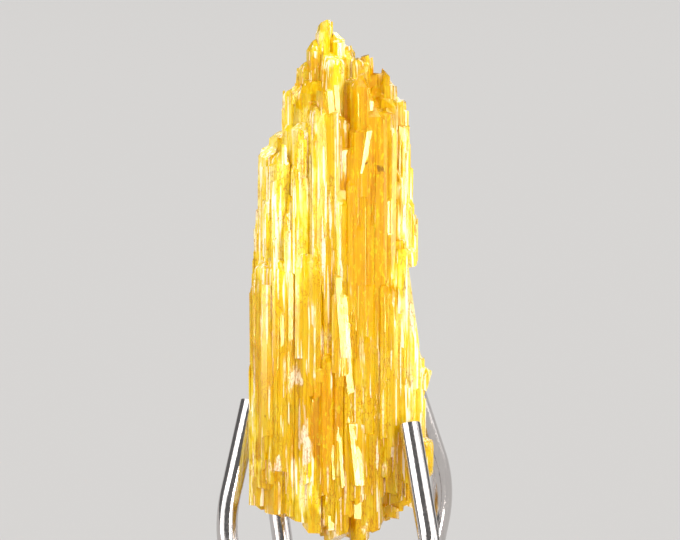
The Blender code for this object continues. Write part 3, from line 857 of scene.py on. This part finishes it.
def drill(bend, root):
    """A cylinder that leaves a wire's root its hole."""
    root = Vector(root)
    upward = (Vector(bend) - root).normalized()
    middle = root + upward * 0.5 * (HOLE_SHAFT - HOLE_GAP)
    radius = (0.5 * WIRE_DIAMETER + HOLE_GAP) * MM
    bm = bmesh.new()
    bmesh.ops.create_cone(bm, cap_ends=True, segments=HOLE_SIDES, radius1=radius, radius2=radius,
                          depth=(HOLE_SHAFT + HOLE_GAP) * MM)
    bm.transform(Matrix.Translation(middle * MM)
                 @ upward.to_track_quat("Z", "Y").to_matrix().to_4x4())
    mesh = bpy.data.meshes.new("drill")
    bm.to_mesh(mesh)
    bm.free()
    return new_object("drill", mesh)


class SPECIMEN_OT_turn_base(bpy.types.Operator):
    """Turns the holder's base and drills its four holes"""

    bl_idname = "specimen.turn_base"
    bl_label = "Turn Base"

    def execute(self, context):
        settings = context.scene.specimen_holder
        profile = [Vector((radius, 0.0, height)) * MM
                   for radius, height in base_profile(settings.base_radius / MM)]
        mesh = bpy.data.meshes.new("base_profile")
        mesh.from_pydata(profile, [(i, i + 1) for i in range(len(profile) - 1)], [])
        turned = new_object("base_profile", mesh)
        screw = turned.modifiers.new("turned", "SCREW")
        screw.steps = settings.base_steps
        screw.render_steps = settings.base_steps
        screw.use_merge_vertices = True
        screw.merge_threshold = BASE_MERGE * MM
        drills = {name: drill(bend, root) for name, (_, bend, root) in PRONGS.items()}
        for name, cutter in drills.items():
            hole = turned.modifiers.new("drilled_for_" + name, "BOOLEAN")
            hole.operation = "DIFFERENCE"
            hole.object = cutter
        base = baked(turned, "turned_base")
        for cutter in drills.values():
            bpy.data.objects.remove(cutter)
        base.data.materials.clear()
        base.data.materials.append(satin_steel_material())
        base.data.shade_smooth()
        base.data.set_sharp_from_angle(angle=BASE_CREASE)
        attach(base, BODY)
        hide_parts("holder_base")
        return {"FINISHED"}


# ---------------------------------------------------------------- the studio


class StageSettings(bpy.types.PropertyGroup):
    """Floor, lights and camera of the studio."""

    floor_size: FloatProperty(name="Floor Size", description="Side of the square floor",
                              default=8.0, unit="LENGTH")
    camera_distance: FloatProperty(name="Camera Distance", description="From the crystal's middle",
                                   default=0.1, unit="LENGTH")
    camera_elevation: FloatProperty(name="Camera Elevation", description="Angle above the horizon",
                                    default=math.radians(8), subtype="ANGLE", unit="ROTATION")
    world_strength: FloatProperty(name="World Strength", description="Strength of the light all round",
                                  default=0.16, min=0.0)


# Softboxes: azimuth in degrees from the front, towards +X; height of the middle, distance, width and height
# in metres; radiance; colour. The wash lights the floor alone, and evenly. The others would draw lines on it,
# so they light the specimen alone
FLOOR_LIGHT = "wash"
SOFTBOXES = {
    "key": (34.0, 0.034, 0.11, 0.020, 0.075, 22.0, "#FFF6EE"),
    "streak_right": (78.0, 0.034, 0.13, 0.030, 0.080, 4.0, "#FFF6EE"),
    "streak_left": (-62.0, 0.034, 0.13, 0.024, 0.080, 6.0, "#FFF6EE"),
    "panel_right": (68.0, 0.040, 0.14, 0.200, 0.090, 0.95, "#FFFFFF"),
    "panel_left": (-55.0, 0.040, 0.14, 0.120, 0.090, 1.5, "#FFFFFF"),
    "high_right": (58.0, 0.105, 0.10, 0.10, 0.08, 2.0, "#FFFFFF"),
    "high_left": (-50.0, 0.105, 0.10, 0.10, 0.08, 3.4, "#FFFFFF"),
    "overhead": (180.0, 1.0, 0.40, 2.0, 2.0, 1.5, "#FFFFFF"),
    "rim": (160.0, 0.12, 0.14, 0.10, 0.05, 4.0, "#FFF4E6"),
    "wash": (0.0, 2.0, 0.0, 10.0, 10.0, 1.05, "#FFFFFF"),
}
TARGET = Vector((0.0, 0.0, 0.025))
SENSOR = 36.0               # in mm, as is the lens
LENS = 132.35
NEAREST_SHOWN = 1.0 * MM


class SPECIMEN_OT_set_stage(bpy.types.Operator):
    """Lays the floor and sets the lights and the camera"""

    bl_idname = "specimen.set_stage"
    bl_label = "Set Stage"

    def execute(self, context):
        settings = context.scene.specimen_stage
        bm = bmesh.new()
        bmesh.ops.create_grid(bm, x_segments=1, y_segments=1, size=0.5 * settings.floor_size)
        mesh = bpy.data.meshes.new("studio_floor")
        bm.to_mesh(mesh)
        bm.free()
        floor = new_object("studio_floor", mesh)
        finish, _, shader = material_tree("matt_pale_paper")
        shader.inputs["Base Color"].default_value = linear("#CECCCA")
        shader.inputs["Roughness"].default_value = 0.9
        mesh.materials.append(finish)

        paper = bpy.data.collections.new("paper")
        specimen = bpy.data.collections.new("specimen")
        for obj in context.scene.collection.objects:
            if obj.type == "MESH":
                (paper if obj == floor else specimen).objects.link(obj)
        for name, (azimuth, height, distance, width, tall, radiance, colour) in SOFTBOXES.items():
            lamp = bpy.data.lights.new(name, "AREA")
            lamp.shape = "RECTANGLE"
            lamp.size, lamp.size_y = width, tall
            lamp.energy = radiance * math.pi * width * tall     # the power that gives it this radiance
            lamp.color = linear(colour)[:3]
            softbox = new_object(name, lamp)
            turn = math.radians(azimuth)
            softbox.location = (distance * math.sin(turn), -distance * math.cos(turn), height)
            softbox.rotation_euler = (TARGET - softbox.location).to_track_quat("-Z", "Y").to_euler()
            softbox.light_linking.receiver_collection = paper if name == FLOOR_LIGHT else specimen

        world = bpy.data.worlds.new("studio")
        world.use_nodes = True
        background = world.node_tree.nodes["Background"]
        background.inputs["Color"].default_value = linear("#FFFFFF")
        background.inputs["Strength"].default_value = settings.world_strength
        context.scene.world = world

        lens = bpy.data.cameras.new("camera")
        lens.sensor_width = SENSOR
        lens.lens = LENS
        lens.clip_start = NEAREST_SHOWN
        camera = new_object("camera", lens)
        rise = settings.camera_elevation
        camera.location = TARGET + Vector((0.0, -math.cos(rise), math.sin(rise))) * settings.camera_distance
        camera.rotation_euler = (TARGET - camera.location).to_track_quat("-Z", "Y").to_euler()
        context.scene.camera = camera
        context.scene.view_settings.view_transform = "Standard"
        return {"FINISHED"}


class SPECIMEN_PT_panel(bpy.types.Panel):
    """Shows the specimen's settings and operators in the sidebar"""

    bl_idname = "SPECIMEN_PT_panel"
    bl_label = "Specimen"
    bl_space_type = "VIEW_3D"
    bl_region_type = "UI"
    bl_category = "Specimen"

    def draw(self, context):
        for group_name in GROUPS:
            group = getattr(context.scene, group_name)
            box = self.layout.box()
            for name in group.__annotations__:
                box.prop(group, name)
        for operator in OPERATORS:
            self.layout.operator(operator.bl_idname)


OPERATORS = (
    SPECIMEN_OT_grow_crystal,
    SPECIMEN_OT_bend_prongs,
    SPECIMEN_OT_turn_base,
    SPECIMEN_OT_set_stage,
)
GROUPS = {
    "specimen_crystal": CrystalSettings,
    "specimen_holder": HolderSettings,
    "specimen_stage": StageSettings,
}
CLASSES = (*GROUPS.values(), *OPERATORS, SPECIMEN_PT_panel)


def register():
    for kind in CLASSES:
        bpy.utils.register_class(kind)
    for name, kind in GROUPS.items():
        setattr(bpy.types.Scene, name, PointerProperty(type=kind))


def unregister():
    for name in GROUPS:
        delattr(bpy.types.Scene, name)
    for kind in reversed(CLASSES):
        bpy.utils.unregister_class(kind)


def main():
    register()
    bpy.ops.specimen.grow_crystal()
    bpy.ops.specimen.bend_prongs()
    bpy.ops.specimen.turn_base()
    bpy.ops.specimen.set_stage()


if __name__ == "__main__":
    main()
